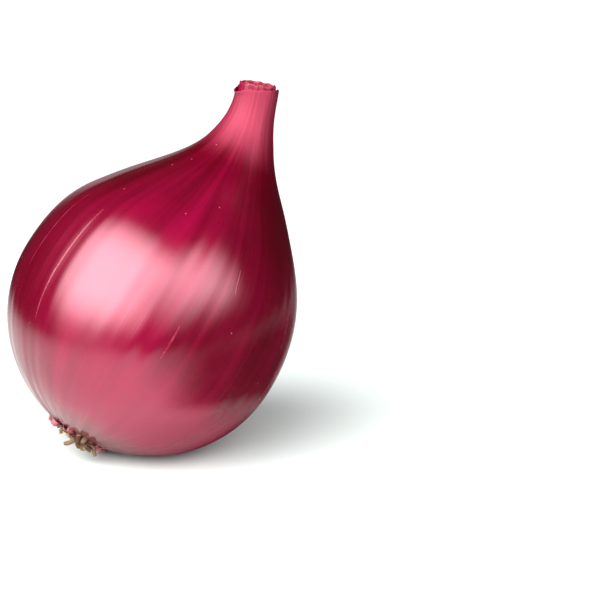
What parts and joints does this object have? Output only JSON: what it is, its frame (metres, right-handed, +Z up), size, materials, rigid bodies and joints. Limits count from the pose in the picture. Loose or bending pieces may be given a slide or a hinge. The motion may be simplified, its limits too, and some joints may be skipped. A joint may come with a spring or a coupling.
{
  "type": "red onion",
  "caption": "Whole red onion: a round bulb in dry glossy skin that draws in to a bent, cut neck, with a trimmed root tuft below; it leans over on a small flat spot.",
  "frame": {"origin": "centre of the flat spot that the onion rests on, at table level", "axes": "+Z up, +X the way the neck leans, and the bulb's axis in the XZ plane; Y crosses that plane, about which the part is the same on both sides except for the lengths of its roots"},
  "size_m": [0.0821, 0.08, 0.1018],
  "materials": {
    "onion_skin": "satin",
    "dry_root": "matte"
  },
  "bodies": {
    "root": {"bulb": "onion_skin", "root_tuft": "dry_root"}
  },
  "joints": []
}
